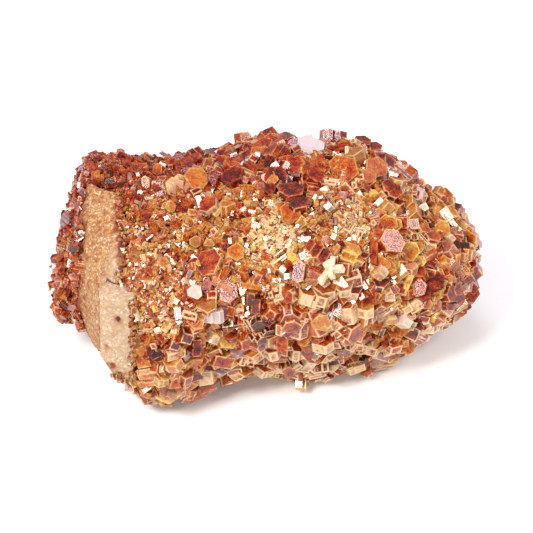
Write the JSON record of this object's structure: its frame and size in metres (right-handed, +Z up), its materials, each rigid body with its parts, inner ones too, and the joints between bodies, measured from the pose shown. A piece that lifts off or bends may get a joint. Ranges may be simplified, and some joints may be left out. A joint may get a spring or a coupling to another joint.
{
  "type": "vanadinite on matrix",
  "caption": "Hand specimen: a crust of six-sided vanadinite crystals grown over a lump of tan matrix rock, bare in a band near one end, lying on its broken underside.",
  "frame": {"origin": "centre of the bounding box in plan, on the surface that the specimen lies on", "axes": "+X along the specimen's length, towards its narrower end; +Y from the face with the rock ledge to the back; +Z up from the broken underside"},
  "size_m": [0.1087, 0.0703, 0.0514],
  "materials": {
    "matrix_rock": "rough granular broken rock, tan to cream",
    "vanadinite": "resinous to glassy crystal faces, brick red to orange-brown with pale edges"
  },
  "bodies": {
    "root": {"matrix_rock": "matrix_rock", "vanadinite_crust": "vanadinite"}
  },
  "joints": []
}
